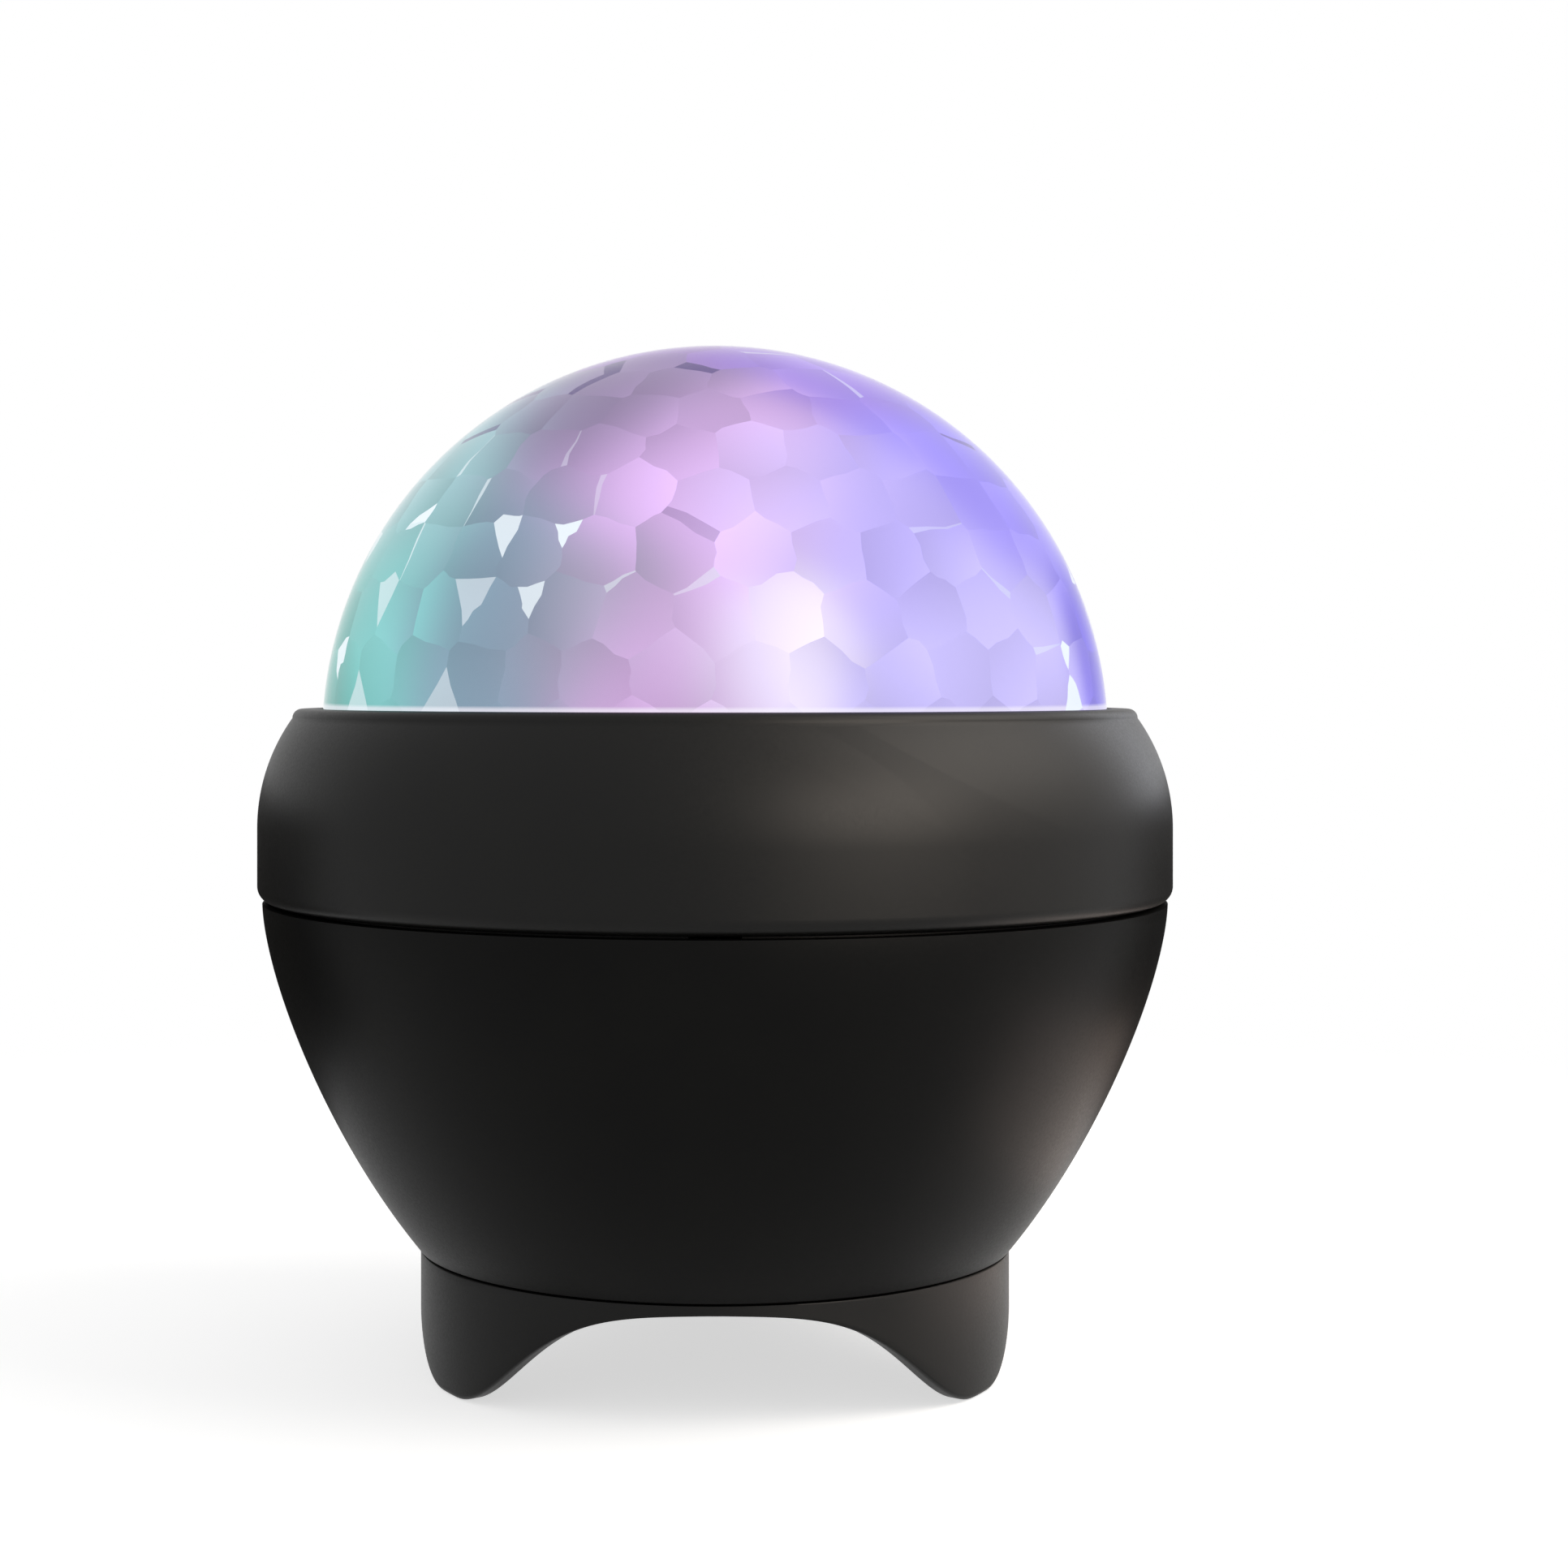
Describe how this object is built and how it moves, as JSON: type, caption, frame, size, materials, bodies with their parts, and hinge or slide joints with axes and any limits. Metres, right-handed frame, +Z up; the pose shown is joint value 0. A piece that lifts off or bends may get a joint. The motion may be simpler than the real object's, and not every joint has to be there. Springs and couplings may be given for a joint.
{
  "type": "star projector lamp",
  "caption": "Table star projector: clear faceted dome over a gear-driven ripple wheel and coloured lamps, in a black ring and bowl on a base with feet and push buttons behind.",
  "frame": {"origin": "on the floor, under the middle of the dome", "axes": "+Z up through the dome; -Y to the front, between two feet; the buttons and the socket are at +Y"},
  "size_m": [0.12, 0.12, 0.1339],
  "materials": {
    "body_black": "satin moulded",
    "button_black": "fine matt",
    "dome_clear": "polished, faceted inside",
    "wheel_clear": "polished, rippled top",
    "deck_white": "satin moulded",
    "sink_aluminium": "bead blasted",
    "bright_steel": "zinc plated",
    "black_steel": "blackened",
    "nylon": "moulded",
    "board_green": "solder resist",
    "board_white": "white solder resist on aluminium",
    "chip_black": "moulded epoxy",
    "lead_black": "smooth jacket",
    "lamp_red": "clear lens over red chip",
    "lamp_green": "clear lens over green chip",
    "lamp_blue": "clear lens over blue chip",
    "lamp_white": "clear lens over warm white chip"
  },
  "bodies": {
    "housing": {"tripod_base": "body_black", "bowl_shell": "body_black", "top_ring": "body_black", "crystal_dome": "dome_clear", "deck_plate": "deck_white", "heat_sink": "sink_aluminium", "led_board": "board_white", "led_red": "lamp_red", "led_green": "lamp_green", "led_blue": "lamp_blue", "led_white": "lamp_white", "lens_axle": "bright_steel", "axle_washer": "nylon", "axle_clip": "bright_steel", "gear_motor": "bright_steel", "motor_bracket": "deck_white", "control_board": "board_green", "driver_chip": "chip_black", "capacitor_1": "sink_aluminium", "capacitor_2": "sink_aluminium", "usb_socket": "bright_steel", "button_board": "board_green", "power_switch": "chip_black", "colour_switch": "chip_black", "spin_switch": "chip_black", "led_lead": "lead_black", "motor_lead": "lead_black", "button_lead": "lead_black", "base_screw_1": "black_steel", "deck_screw_1": "bright_steel", "heat_sink_screw_1": "bright_steel", "led_board_screw_1": "bright_steel", "base_screw_2": "black_steel", "deck_screw_2": "bright_steel", "heat_sink_screw_2": "bright_steel", "led_board_screw_2": "bright_steel", "base_screw_3": "black_steel", "deck_screw_3": "bright_steel", "heat_sink_screw_3": "bright_steel", "led_board_screw_3": "bright_steel", "board_screw_1": "bright_steel", "board_screw_2": "bright_steel", "board_screw_3": "bright_steel", "board_screw_4": "bright_steel", "motor_screw_1": "bright_steel", "button_board_screw_1": "bright_steel", "motor_screw_2": "bright_steel", "button_board_screw_2": "bright_steel"},
    "wheel": {"ripple_wheel": "wheel_clear"},
    "pinion": {"drive_pinion": "nylon", "motor_shaft": "bright_steel"},
    "power_button": {"power_button": "button_black"},
    "colour_button": {"colour_button": "button_black"},
    "spin_button": {"spin_button": "button_black"}
  },
  "joints": [
    {"name": "wheel_spin", "type": "hinge", "parent": "housing", "child": "wheel", "pos_m": [0, 0, 0.0722], "axis": [0, 0, 1], "continuous": true},
    {"name": "pinion_spin", "type": "hinge", "parent": "housing", "child": "pinion", "pos_m": [0.03031, -0.0175, 0.0722], "axis": [0, 0, 1], "continuous": true},
    {"name": "power_press", "type": "slide", "parent": "housing", "child": "power_button", "axis": [0, -0.9634, 0.2679], "range_m": [0, 0.0006], "stiffness_N_per_m": 1200, "springref_m": -0.0003},
    {"name": "colour_press", "type": "slide", "parent": "housing", "child": "colour_button", "axis": [0, -0.9634, 0.2679], "range_m": [0, 0.0006], "stiffness_N_per_m": 1200, "springref_m": -0.0003},
    {"name": "spin_press", "type": "slide", "parent": "housing", "child": "spin_button", "axis": [0, -0.9634, 0.2679], "range_m": [0, 0.0006], "stiffness_N_per_m": 1200, "springref_m": -0.0003}
  ],
  "couplings": [
    {"joint": "pinion_spin", "follows": "wheel_spin", "ratio": -4}
  ]
}
